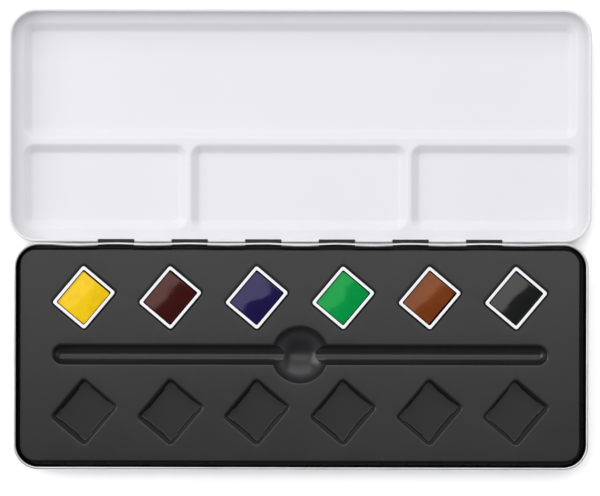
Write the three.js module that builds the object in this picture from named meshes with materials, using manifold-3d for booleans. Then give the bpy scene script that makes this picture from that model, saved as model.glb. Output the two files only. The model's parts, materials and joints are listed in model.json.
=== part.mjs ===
// Watercolour paint box: a hinged tin that lies open flat, with a pocketed insert tray,
// six filled half pans and six empty places.
// Units are millimetres. +X runs along the tin to the right, +Y from the front to the lid,
// +Z up. The origin is the centre of the base tin's underside.
import * as THREE from 'three';
import { mergeVertices } from 'three/addons/utils/BufferGeometryUtils.js';
import Module from 'manifold-3d';

const wasm = await Module();
wasm.setup();

// Tinplate, the same for both tins
const sheet = 0.25; // thickness of the plate
const beadRadius = 0.6; // outer radius of the rolled rim
const panelEdge = 1.5; // outer radius where a wall turns into its panel

// Running and seating clearances
const seatGap = 0.3; // under a piece that only lies in its seat
const lidFit = 0.15; // between the lid's rolled rim and the long walls of the base
const lidEndFit = 0.45; // the same at the two ends
const knuckleGap = 0.3; // between neighbouring hinge knuckles
const wireGap = 0.12; // round the hinge wire inside its knuckles
const cakeGap = 0.2; // between a paint cake and its pan
const panGap = 0.35; // between a pan's rim and the mouth of its pocket
const overrun = 1; // how far a cut runs past the face that it opens

// Half pans and the paint in them
const panLength = 19;
const panWidth = 16.4;
const panHeight = 9.5;
const panCorner = 1;
const panInnerCorner = 0.6; // corners of the hollow, and of the paint in it
const panDraft = 1.3; // how much each side leans in from rim to foot
const panRim = 1.35; // width of the white rim seen from above
const panWall = 0.9; // wall and floor lower down
const panProud = 0.8; // how far the rim stands above the tray
const cakeDrop = 1.3; // paint surface below the rim
const cakeRound = 0.5; // rounded shoulder of the paint

// Insert tray
const trayWall = 0.8;
const trayGap = 1.55; // play between the tray and the rolled rim, each side
const trayCorner = 6;
const trayEdge = 1.2; // radius of the upper edge
const trayDraft = 0.3; // how much the skirt widens towards its foot
const rimDrop = 2; // tray top below the rim of the base
const trayShiftX = -0.4; // where the loose tray has slid to
const trayShiftY = 0.2;
const rowMiddle = 0.3; // the groove line behind the middle of the tray
const rowSpread = 44.7; // between the middles of the two rows of places
const rowEndMargin = 25.2; // end of the tray to the middle of the last pocket
const pocketDraft = 0.7;
const pocketCorner = 1.4; // at the mouth
const pocketLip = 0.3; // bevel round a pocket's mouth
const padReach = 0.7; // how far a grip pad stands out at the pocket floor
const padLengthShare = 0.6; // of the pocket side that it stands on
const padHeightShare = 0.75; // of the pocket's depth
const pocketTurn = THREE.MathUtils.degToRad(50);
const pocketsPerRow = 6;

// Brush groove and finger scoop
const grooveWidth = 8;
const grooveDepth = 4.8;
const grooveEndMargin = 12.8; // end of the tray to the end of the groove
const scoopRadius = 11.5;
const scoopDepth = 6.2;

// Base tin
const baseLength = 224.8;
const baseWidth = 88.7;
const baseCorner = 10;

// Lid tin and its mixing wells
const lidCorner = 10.8;
const lidHeadroom = 2; // base rim to the ledge of the closed lid
const wellDepth = 3;
const wellMargin = 5.3; // outer face of the lid to the top of a well's slope
const wellSlope = 2.9; // width of the slope, seen from above
const wellCorner = 4.3; // at the top of the slope
const longCrestWidth = 2.8; // flat top of the long ridge between wells
const shortCrestWidth = 1.7;
const longCrestShare = -0.1324; // long ridge, of the lid's half width from its middle
const shortCrestShares = [-0.3835, 0.375]; // short ridges, of the lid's half length

// Hinge
const hingeLength = 187.2;
const hingeShift = -0.4; // hinge and lid sit a little left of the middle of the base
const knuckleCount = 13; // lid and base in turn, a lid knuckle at each end

// Curve steps
const tinSteps = 6;
const wellSteps = 3;
const traySteps = 4;
const panSteps = 3;
const beadSteps = 6;
const edgeSteps = 3;
const bowlSteps = 5;
const scoopSides = 28;
const grooveSteps = 7;
const wireSides = 10;

// Heights, stacked from the underside of the base
const trayFoot = sheet + seatGap;
const pocketFloor = trayFoot + trayWall;
const panFoot = pocketFloor + seatGap;
const panTop = panFoot + panHeight;
const trayTop = panTop - panProud;
const baseHeight = trayTop + rimDrop;
const lidWall = (baseHeight + lidHeadroom + sheet - wellDepth) / 2; // bead line to ledge
const hingeZ = lidWall + wellDepth; // so that the open lid lies flat on the table

// Plan sizes that follow from the base tin
const beadWidth = 2 * beadRadius;
const lidLength = baseLength + 2 * (lidEndFit + beadWidth);
const lidWidth = baseWidth + 2 * (lidFit + beadWidth);
const hingeY = baseWidth / 2 + lidFit + beadRadius;
const trayLength = baseLength - 2 * (beadWidth + trayGap);
const trayWidth = baseWidth - 2 * (beadWidth + trayGap);
const pocketLength = panLength + 2 * panGap;
const pocketWidth = panWidth + 2 * panGap;
const pocketPitch = (trayLength - 2 * rowEndMargin) / (pocketsPerRow - 1);
const rowOffset = rowSpread / 2;
const knucklePitch = hingeLength / knuckleCount;

const colours = {
  blackLacquer: new THREE.MeshStandardMaterial({ color: 0x161616, roughness: 0.45, metalness: 0.3 }),
  whiteEnamel: new THREE.MeshStandardMaterial({ color: 0xe6e8f0, roughness: 0.3, metalness: 0 }),
  brightWire: new THREE.MeshStandardMaterial({ color: 0xb9bab8, roughness: 0.35, metalness: 1 }),
  greyPlastic: new THREE.MeshStandardMaterial({ color: 0x454547, roughness: 0.6, metalness: 0 }),
  whitePlastic: new THREE.MeshStandardMaterial({ color: 0xf4f4f2, roughness: 0.35, metalness: 0 }),
};

// Paint colours, from left to right
const paints = [
  ['yellow_paint_cake', 0xf2cb10],
  ['maroon_paint_cake', 0x5a2018],
  ['indigo_paint_cake', 0x2a2064],
  ['green_paint_cake', 0x28a84c],
  ['sienna_paint_cake', 0x8a4520],
  ['black_paint_cake', 0x202022],
];

// One level of a lofted body: a rectangle with rounded corners, anticlockwise from +X
function roundedLoop(halfX, halfY, radius, z, steps) {
  const centreX = halfX - radius;
  const centreY = halfY - radius;
  const signs = [[1, 1], [-1, 1], [-1, -1], [1, -1]];
  return signs.flatMap(([signX, signY], corner) => {
    return Array.from({ length: steps + 1 }, (_, step) => {
      const angle = ((corner + step / steps) * Math.PI) / 2;
      const x = signX * centreX + radius * Math.cos(angle);
      const y = signY * centreY + radius * Math.sin(angle);
      return new THREE.Vector3(x, y, z);
    });
  });
}

// One level of the groove: a slot with round ends, anticlockwise
function slotLoop(halfX, halfY, z, steps) {
  return [1, -1].flatMap((side) => {
    return Array.from({ length: steps + 1 }, (_, step) => {
      const angle = (step / steps - side / 2) * Math.PI;
      const x = side * (halfX - halfY) + halfY * Math.cos(angle);
      return new THREE.Vector3(x, halfY * Math.sin(angle), z);
    });
  });
}

// Closed body through a list of loops of equal count, with a flat cap at each end
function loft(loops) {
  const count = loops[0].length;
  const positions = loops.flat().flatMap((point) => point.toArray());
  const indices = [];
  for (let level = 0; level < loops.length - 1; level += 1) {
    for (let i = 0; i < count; i += 1) {
      const here = level * count + i;
      const next = level * count + ((i + 1) % count);
      indices.push(here, next, next + count);
      indices.push(here, next + count, here + count);
    }
  }
  const last = (loops.length - 1) * count;
  for (let i = 1; i < count - 1; i += 1) {
    indices.push(0, i + 1, i);
    indices.push(last, last + i, last + i + 1);
  }
  const geometry = new THREE.BufferGeometry();
  geometry.setAttribute('position', new THREE.Float32BufferAttribute(positions, 3));
  geometry.setIndex(indices);
  return geometry;
}

// Loft of rounded rectangles from rows of [inset, height, corner radius where it has its own]
function insetLoft(length, width, corner, rows, steps) {
  return loft(rows.map(([inset, z, radius = corner - inset]) => {
    return roundedLoop(length / 2 - inset, width / 2 - inset, radius, z, steps);
  }));
}

// Points of an arc about a centre, from one angle to another
function arc(centreX, centreY, radius, from, to, steps) {
  return Array.from({ length: steps + 1 }, (_, step) => {
    const angle = from + ((to - from) * step) / steps;
    return [centreX + radius * Math.cos(angle), centreY + radius * Math.sin(angle)];
  });
}

// Geometry to a solid for joining and cutting
function solid(geometry) {
  const bare = geometry.clone();
  bare.deleteAttribute('normal');
  bare.deleteAttribute('uv');
  const merged = mergeVertices(bare);
  return new wasm.Manifold(new wasm.Mesh({
    numProp: 3,
    vertProperties: new Float32Array(merged.attributes.position.array),
    triVerts: new Uint32Array(merged.index.array),
  }));
}

function union(solids) {
  return solids.reduce((whole, piece) => whole.add(piece));
}

// Solid or geometry to a named mesh
function piece(name, shape, material) {
  let geometry = shape;
  if (!shape.isBufferGeometry) {
    const data = shape.getMesh();
    geometry = new THREE.BufferGeometry();
    geometry.setAttribute('position', new THREE.BufferAttribute(data.vertProperties, 3));
    geometry.setIndex(new THREE.BufferAttribute(data.triVerts, 1));
  }
  geometry.computeVertexNormals();
  const mesh = new THREE.Mesh(geometry, material);
  mesh.name = name;
  return mesh;
}

// Prism along X from a shape drawn in the YZ plane, centred on x
function prismAlongX(shape, length, x, steps) {
  const geometry = new THREE.ExtrudeGeometry(shape, {
    depth: length,
    bevelEnabled: false,
    curveSegments: steps,
  });
  const across = new THREE.Vector3(0, 1, 0);
  const up = new THREE.Vector3(0, 0, 1);
  const along = new THREE.Vector3(1, 0, 0);
  geometry.applyMatrix4(new THREE.Matrix4().makeBasis(across, up, along));
  geometry.translate(x - length / 2, 0, 0);
  return geometry;
}

// Open tin pressed from one plate: panel, rounded edge, wall and inward rolled rim.
// The section runs up the outer face, round the bead and back down the inner face.
function tinShell(length, width, corner, height) {
  const quarter = Math.PI / 2;
  const beadZ = height - beadRadius;
  const outerEdge = arc(panelEdge, panelEdge, panelEdge, -quarter, -2 * quarter, edgeSteps);
  const beadOut = arc(beadRadius, beadZ, beadRadius, 2 * quarter, -quarter, beadSteps);
  const beadIn = arc(beadRadius, beadZ, beadRadius - sheet, -quarter, 2 * quarter, beadSteps);
  const innerEdge = arc(panelEdge, panelEdge, panelEdge - sheet, -2 * quarter, -quarter, edgeSteps);
  const section = [...outerEdge, ...beadOut, ...beadIn, ...innerEdge];
  return solid(insetLoft(length, width, corner, section, tinSteps));
}

// X of the middle of each hinge knuckle of one kind: 0 for the lid's, 1 for the base's
function knuckleCentres(kind) {
  const all = Array.from({ length: knuckleCount }, (_, i) => (i - (knuckleCount - 1) / 2) * knucklePitch);
  return all.filter((_, i) => i % 2 === kind);
}

// Tab that leaves the wall of the base, passes over the hinge wire and wraps round it.
// Drawn about the hinge axis.
function hingeTab(x) {
  const inner = beadRadius - sheet;
  const root = -(beadRadius + lidFit + sheet / 2);
  const shape = new THREE.Shape();
  shape.moveTo(root, inner);
  shape.lineTo(0, inner);
  shape.absarc(0, 0, inner, Math.PI / 2, -Math.PI, true);
  shape.lineTo(-beadRadius, 0);
  shape.absarc(0, 0, beadRadius, -Math.PI, Math.PI / 2, false);
  shape.lineTo(root, beadRadius);
  const tab = prismAlongX(shape, knucklePitch - knuckleGap, x, beadSteps + edgeSteps);
  tab.translate(hingeShift, hingeY, hingeZ);
  return solid(tab);
}

// Slot left in the rear wall of the base where a tab was cut free and folded out
function tabWindow(x) {
  const low = hingeZ + beadRadius;
  const high = baseHeight - beadWidth;
  const depth = sheet + lidFit;
  const cut = new THREE.BoxGeometry(knucklePitch - knuckleGap, depth, high - low);
  cut.translate(x + hingeShift, baseWidth / 2 - sheet / 2, (low + high) / 2);
  return solid(cut);
}

function baseTin() {
  const shell = tinShell(baseLength, baseWidth, baseCorner, baseHeight);
  const places = knuckleCentres(1);
  const cut = shell.subtract(union(places.map(tabWindow)));
  return cut.add(union(places.map(hingeTab)));
}

// Plan rectangles of the four mixing wells at the top of their slopes, about the lid's middle
function wellPlans() {
  const halfLength = lidLength / 2 - wellMargin;
  const halfWidth = lidWidth / 2 - wellMargin;
  const longCrest = (longCrestShare * lidWidth) / 2;
  const shortCrests = shortCrestShares.map((share) => (share * lidLength) / 2);
  const walls = shortCrests.flatMap((x) => [x - shortCrestWidth / 2, x + shortCrestWidth / 2]);
  const ends = [-halfLength, ...walls, halfLength];
  const front = [0, 1, 2].map((i) => {
    return { x0: ends[2 * i], x1: ends[2 * i + 1], y0: -halfWidth, y1: longCrest - longCrestWidth / 2 };
  });
  const rear = { x0: -halfLength, x1: halfLength, y0: longCrest + longCrestWidth / 2, y1: halfWidth };
  return [rear, ...front];
}

// Body of one well from the ledge down, grown by a skin and closed above at the given height
function wellBody(plan, skin, top, closeAt) {
  const length = plan.x1 - plan.x0 + 2 * skin;
  const width = plan.y1 - plan.y0 + 2 * skin;
  const rows = [[wellSlope, top - wellDepth], [0, top], [0, closeAt]];
  const body = insetLoft(length, width, wellCorner + skin, rows, wellSteps);
  body.translate((plan.x0 + plan.x1) / 2, (plan.y0 + plan.y1) / 2, 0);
  return solid(body);
}

// Lid tin about its own middle, open side up, with the bead line at height zero
function lidTin() {
  const shell = tinShell(lidLength, lidWidth, lidCorner, lidWall + beadRadius);
  const slopeAngle = Math.atan2(wellDepth, wellSlope);
  const skin = sheet * Math.tan(slopeAngle / 2);
  const plans = wellPlans();
  const outer = union(plans.map((plan) => wellBody(plan, skin, 0, sheet / 2)));
  const inner = union(plans.map((plan) => wellBody(plan, 0, sheet, sheet + overrun)));
  const pressed = shell.add(outer).subtract(inner).translate([0, 0, -lidWall]);
  const reach = beadRadius + lidFit;
  const cutter = new THREE.CylinderGeometry(reach, reach, knucklePitch + knuckleGap, 2 * wireSides);
  cutter.rotateZ(Math.PI / 2);
  cutter.translate(0, beadRadius - lidWidth / 2, 0);
  const cuts = knuckleCentres(1).map((x) => solid(cutter).translate([x, 0, 0]));
  return pressed.subtract(union(cuts));
}

function hingeWire() {
  const radius = beadRadius - sheet - wireGap;
  const wire = new THREE.CylinderGeometry(radius, radius, hingeLength, wireSides);
  wire.rotateZ(Math.PI / 2);
  return wire;
}

// Block of the tray with its rounded upper edge, drawn in by a skin
function trayBlock(skin, foot) {
  const top = trayTop - skin;
  const radius = trayEdge;
  const edge = arc(radius, top - radius, radius, Math.PI, Math.PI / 2, edgeSteps);
  const rows = [[-trayDraft, foot], ...edge].map(([inset, z]) => [inset + skin, z]);
  return solid(insetLoft(trayLength, trayWidth, trayCorner, rows, traySteps));
}

// Cavity of one pocket, or with a skin the cup round it, about the pocket's middle
function pocketBody(skin) {
  const rise = pocketDraft / (trayTop - pocketFloor);
  const foot = pocketFloor - skin;
  const lipZ = trayTop - pocketLip;
  const rows = [
    [pocketDraft - skin + rise * skin, foot],
    [rise * pocketLip - skin, lipZ],
    [-pocketLip - skin, trayTop],
    [-pocketLip - skin, trayTop + overrun],
  ];
  return solid(insetLoft(pocketLength, pocketWidth, pocketCorner, rows, panSteps));
}

// Four wedge pads on the pocket walls, which grip the foot of a pan
function gripPads() {
  const depth = trayTop - pocketFloor;
  const height = padHeightShare * depth;
  const lean = padHeightShare * pocketDraft;
  const sides = [
    { along: pocketWidth, out: pocketLength / 2, turn: 0 },
    { along: pocketLength, out: pocketWidth / 2, turn: Math.PI / 2 },
  ];
  return union(sides.flatMap(({ along, out, turn }) => [0, Math.PI].map((flip) => {
    const footX = out - pocketDraft;
    const shape = new THREE.Shape();
    shape.moveTo(footX - padReach, pocketFloor);
    shape.lineTo(footX + lean, pocketFloor + height);
    shape.lineTo(footX + trayWall / 2, pocketFloor);
    shape.lineTo(footX + trayWall / 2, pocketFloor - trayWall / 2);
    shape.lineTo(footX - padReach, pocketFloor - trayWall / 2);
    const pad = prismAlongX(shape, padLengthShare * (along - 2 * pocketDraft), 0, 1);
    pad.rotateZ(-Math.PI / 2 + turn + flip);
    return solid(pad);
  })));
}

// U-shaped brush groove with round ends, grown by a skin
function grooveBody(skin) {
  const halfLength = trayLength / 2 - grooveEndMargin + skin;
  const radius = grooveWidth / 2 + skin;
  const springZ = trayTop - grooveDepth + grooveWidth / 2;
  const lowest = 1 / (2 * bowlSteps);
  const turns = Array.from({ length: bowlSteps }, (_, i) => lowest + ((1 - lowest) * i) / (bowlSteps - 1));
  const rings = turns.map((turn) => {
    const angle = (turn * Math.PI) / 2;
    const half = radius * Math.sin(angle);
    return slotLoop(halfLength - radius + half, half, springZ - radius * Math.cos(angle), grooveSteps);
  });
  return solid(loft([...rings, slotLoop(halfLength, radius, trayTop + overrun, grooveSteps)]));
}

// Spherical finger scoop, grown by a skin
function scoopBody(skin) {
  const ball = (scoopRadius ** 2 + scoopDepth ** 2) / (2 * scoopDepth);
  const centreZ = trayTop - scoopDepth + ball;
  const radius = ball + skin;
  const rimAngle = Math.asin(scoopRadius / ball);
  const curve = arc(0, centreZ, radius, -Math.PI / 2, rimAngle - Math.PI / 2, bowlSteps + 1);
  const rim = curve[curve.length - 1];
  const points = [...curve, [rim[0], trayTop + overrun], [0, trayTop + overrun]];
  points[0][0] = 0;
  const bowl = new THREE.LatheGeometry(points.map(([x, y]) => new THREE.Vector2(x, y)), scoopSides);
  bowl.rotateX(Math.PI / 2);
  return solid(bowl);
}

// Middles of the twelve pockets, rear row first, from left to right
function pocketPlaces() {
  return [1, -1].flatMap((row) => Array.from({ length: pocketsPerRow }, (_, i) => {
    return [(i - (pocketsPerRow - 1) / 2) * pocketPitch, rowMiddle + row * rowOffset];
  }));
}

function insertTray() {
  const spread = (shape) => {
    const turned = shape.rotate([0, 0, THREE.MathUtils.radToDeg(pocketTurn)]);
    return union(pocketPlaces().map(([x, y]) => turned.translate([x, y, 0])));
  };
  const hollows = (skin) => {
    const onLine = grooveBody(skin).add(scoopBody(skin)).translate([0, rowMiddle, 0]);
    return spread(pocketBody(skin)).add(onLine);
  };
  const underside = trayBlock(trayWall, trayFoot - overrun).subtract(hollows(trayWall));
  const shell = trayBlock(0, trayFoot).subtract(hollows(0)).subtract(underside);
  return shell.add(spread(gripPads()));
}

// Half pan: a small open cup with leaning walls, thickest at its broad rim
function halfPan() {
  const rows = [
    [panDraft, 0, panCorner],
    [0, panHeight, panCorner],
    [panRim, panHeight, panInnerCorner],
    [panDraft + panWall, panWall, panInnerCorner],
  ];
  return insetLoft(panLength, panWidth, panCorner, rows, panSteps);
}

// Paint cake: fills the pan to just below the rim
function paintCake() {
  const top = panHeight - cakeDrop;
  const lean = (panDraft + panWall - panRim) / (panHeight - panWall);
  const insetAt = (z) => panRim + cakeGap + lean * (panHeight - z);
  const rows = [
    [insetAt(panWall + cakeGap), panWall + cakeGap, panInnerCorner],
    [insetAt(top - cakeRound), top - cakeRound, panInnerCorner],
    [insetAt(top) + cakeRound, top, panInnerCorner],
  ];
  return insetLoft(panLength, panWidth, panCorner, rows, panSteps);
}

function paintBox() {
  const box = new THREE.Group();
  box.add(piece('base_tin', baseTin(), colours.blackLacquer));

  const hinge = new THREE.Group();
  hinge.position.set(hingeShift, hingeY, hingeZ);
  hinge.add(piece('hinge_wire', hingeWire(), colours.brightWire));
  const lid = piece('lid_tin', lidTin(), colours.whiteEnamel);
  lid.position.y = lidWidth / 2 - beadRadius;
  hinge.add(lid);
  box.add(hinge);

  const tray = new THREE.Group();
  tray.position.set(trayShiftX, trayShiftY, 0);
  tray.add(piece('insert_tray', insertTray(), colours.greyPlastic));
  const places = pocketPlaces();
  paints.forEach(([name, colour], i) => {
    const pan = new THREE.Group();
    pan.position.set(places[i][0], places[i][1], panFoot);
    pan.rotation.z = pocketTurn;
    pan.add(piece(`half_pan_${i + 1}`, halfPan(), colours.whitePlastic));
    const paint = new THREE.MeshStandardMaterial({ color: colour, roughness: 0.3, metalness: 0 });
    pan.add(piece(name, paintCake(), paint));
    tray.add(pan);
  });
  box.add(tray);
  return box;
}

export default paintBox();
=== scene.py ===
"""Looks of the watercolour paint box: two pressed tins, a moulded tray, half pans and their paint.

Sizes are millimetres until a mesh is written, which is in metres. +X runs along the box to the
right, +Y from the front to the opened lid, +Z up.
"""
import json
import logging
import math
from dataclasses import dataclass, field
from enum import Enum
from typing import Any, Iterable, Sequence

import bmesh
import bpy
import numpy as np
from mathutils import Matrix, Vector
from mathutils.geometry import delaunay_2d_cdt


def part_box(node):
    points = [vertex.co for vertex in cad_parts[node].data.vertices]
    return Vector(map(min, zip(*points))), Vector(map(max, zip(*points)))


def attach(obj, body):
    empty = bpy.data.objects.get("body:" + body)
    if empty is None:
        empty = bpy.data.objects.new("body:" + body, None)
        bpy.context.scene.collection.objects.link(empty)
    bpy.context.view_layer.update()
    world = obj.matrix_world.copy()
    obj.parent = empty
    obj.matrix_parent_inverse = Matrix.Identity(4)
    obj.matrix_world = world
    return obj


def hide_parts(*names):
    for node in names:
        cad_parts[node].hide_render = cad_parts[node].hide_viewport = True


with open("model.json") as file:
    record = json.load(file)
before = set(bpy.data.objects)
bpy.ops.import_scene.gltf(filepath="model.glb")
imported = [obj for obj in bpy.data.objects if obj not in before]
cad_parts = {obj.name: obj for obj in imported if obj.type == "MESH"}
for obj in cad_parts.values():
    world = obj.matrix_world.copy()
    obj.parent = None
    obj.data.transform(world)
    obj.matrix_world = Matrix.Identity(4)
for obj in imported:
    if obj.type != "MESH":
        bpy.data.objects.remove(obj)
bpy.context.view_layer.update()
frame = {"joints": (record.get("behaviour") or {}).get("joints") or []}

LOG = logging.getLogger("paint_box")
MM = 0.001
QUARTER = math.pi / 2
WELD = 1e-7  # metres between points that are made one
SHARP_ANGLE = math.radians(38)
TOUCHING = 1e-6  # millimetres between points of an outline that count as one
HOLES_LEFT_OUT = 2  # output of delaunay_2d_cdt: the faces inside the first outline alone
STRAIGHT_ON = 0.999  # least part along an axis of a direction that counts as the axis's own
OUTSIDE, INSIDE, BARE = range(3)  # finishes of a tin in slot order; a pan has the first two

Array = np.ndarray
Colour = tuple[float, float, float]
Pair = tuple[float, float]
Material = bpy.types.Material
Piece = bpy.types.Object
Socket = bpy.types.NodeSocket


class Slot(Enum):
    """Names of material slots of the record."""

    BASE = "base_tinplate"
    LID = "lid_enamel"
    WIRE = "hinge_steel"
    TRAY = "tray_plastic"
    PAN = "pan_plastic"


class Facing(Enum):
    """Which way a level face looks."""

    UP = 1
    DOWN = -1


def arc(centre: Sequence[float], radius: float, start: float, end: float, steps: int) -> Array:
    """Points of an arc: its centre plus the radius, turned through evenly spaced angles."""
    angles = np.linspace(start, end, steps + 1)
    return np.stack([centre[0] + radius * np.cos(angles), centre[1] + radius * np.sin(angles)], 1)


def inner_shares(steps: int) -> Array:
    """Shares of a stretch that part it into equal steps, without its two ends."""
    return np.linspace(0, 1, steps + 1)[1:-1]


def smooth_step(value: Array) -> Array:
    """Rises from 0 to 1 over the unit range as 3t^2 - 2t^3, level at both ends."""
    share = np.clip(value, 0, 1)
    return share * share * (3 - 2 * share)


def ramp_area(t: Array) -> Array:
    """Area up to t under a straight ramp that is clipped to the unit range."""
    return np.where(t < 0, 0, np.where(t < 1, t * t / 2, t - 0.5))


def soft_ramp(value: Array, fold: float) -> Array:
    """The clipped ramp, averaged over a window as wide as the fold, which rounds its two bends."""
    return (ramp_area(value + fold / 2) - ramp_area(value - fold / 2)) / fold


def lifted(flat: Array, z: float) -> Array:
    """Points of a plan at one height."""
    return np.column_stack([flat, np.full(len(flat), z)])


def turned(points: Array, angle: float, centre: Sequence[float]) -> Array:
    """Points turned about the Z axis and then moved in the plan by the centre."""
    matrix = [[math.cos(angle), math.sin(angle)], [-math.sin(angle), math.cos(angle)]]
    return np.concatenate([points[..., :2] @ np.array(matrix) + centre, points[..., 2:]], axis=-1)


def box_of(node: str) -> tuple[Array, Array]:
    """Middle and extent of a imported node's box, in millimetres."""
    low, high = (np.array(corner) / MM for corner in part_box(node))
    return (low + high) / 2, high - low


@dataclass(frozen=True)
class Stations:
    """Places round a rounded rectangle, anticlockwise seen from above.

    A place is a point of the unit square that joins the corner centres, and the outward
    direction there. Its point on the outline is the first, scaled, plus the radius along the
    second, so outlines of all sizes and radii match place by place.
    """

    core: Array
    normal: Array

    @classmethod
    def around(cls, corner_steps: int, sides: Sequence[Array]) -> "Stations":
        """Places from corner arcs and the shares along each side between them.

        Args:
            corner_steps: Chords in each corner.
            sides: Shares between 0 and 1 along the rear, left, front and right side.

        Returns:
            The places.
        """
        signs = np.array([[1, 1], [-1, 1], [-1, -1], [1, -1]], float)
        cores, normals = [], []
        for corner, (here, after, side) in enumerate(zip(signs, np.roll(signs, -1, 0), sides)):
            angles = (corner + np.linspace(0, 1, corner_steps + 1)) * QUARTER
            turn = (corner + 1) * QUARTER
            shares = np.asarray(side, float)[:, None]
            cores += [np.tile(here, (corner_steps + 1, 1)), here * (1 - shares) + after * shares]
            normals += [np.stack([np.cos(angles), np.sin(angles)], axis=1),
                        np.tile([math.cos(turn), math.sin(turn)], (len(shares), 1))]
        return cls(np.concatenate(cores), np.concatenate(normals))

    @classmethod
    def facing(cls, points: Array, centres: Array) -> "Stations":
        """Places straight out from points on a rectangle round the one of corner centres."""
        near = np.clip(points, -centres, centres)
        return cls(near / centres, (points - near) / np.linalg.norm(points - near, axis=1)[:, None])

    def ring(self, half: Array, radius: float, z: float) -> Array:
        """Outline with these half extents and this corner radius, at one height."""
        return lifted(self.core * (half - radius) + self.normal * radius, z)

    def rings(self, half: Array, corner: float, rows: Array, least: float = 0.05) -> Array:
        """Outline for each inset and height; the corner shrinks with the inset to the least."""
        return np.stack([self.ring(half - inset, max(corner - inset, least), z)
                         for inset, z in rows])

    def cut(self, side: int, x: Array, spans: Array) -> Array:
        """Finds the chords of a long side that lie in one of the spans.

        Args:
            side: 1 for the rear side, -1 for the front side.
            x: X of each place.
            spans: Start and end of each span along X.

        Returns:
            True or False for the chord after each place.
        """
        on_side = side * self.normal[:, 1] > STRAIGHT_ON
        middle = (x + np.roll(x, -1)) / 2
        inside = np.any([(start < middle) & (middle < end) for start, end in spans], axis=0)
        return on_side & np.roll(on_side, -1) & inside


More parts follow.
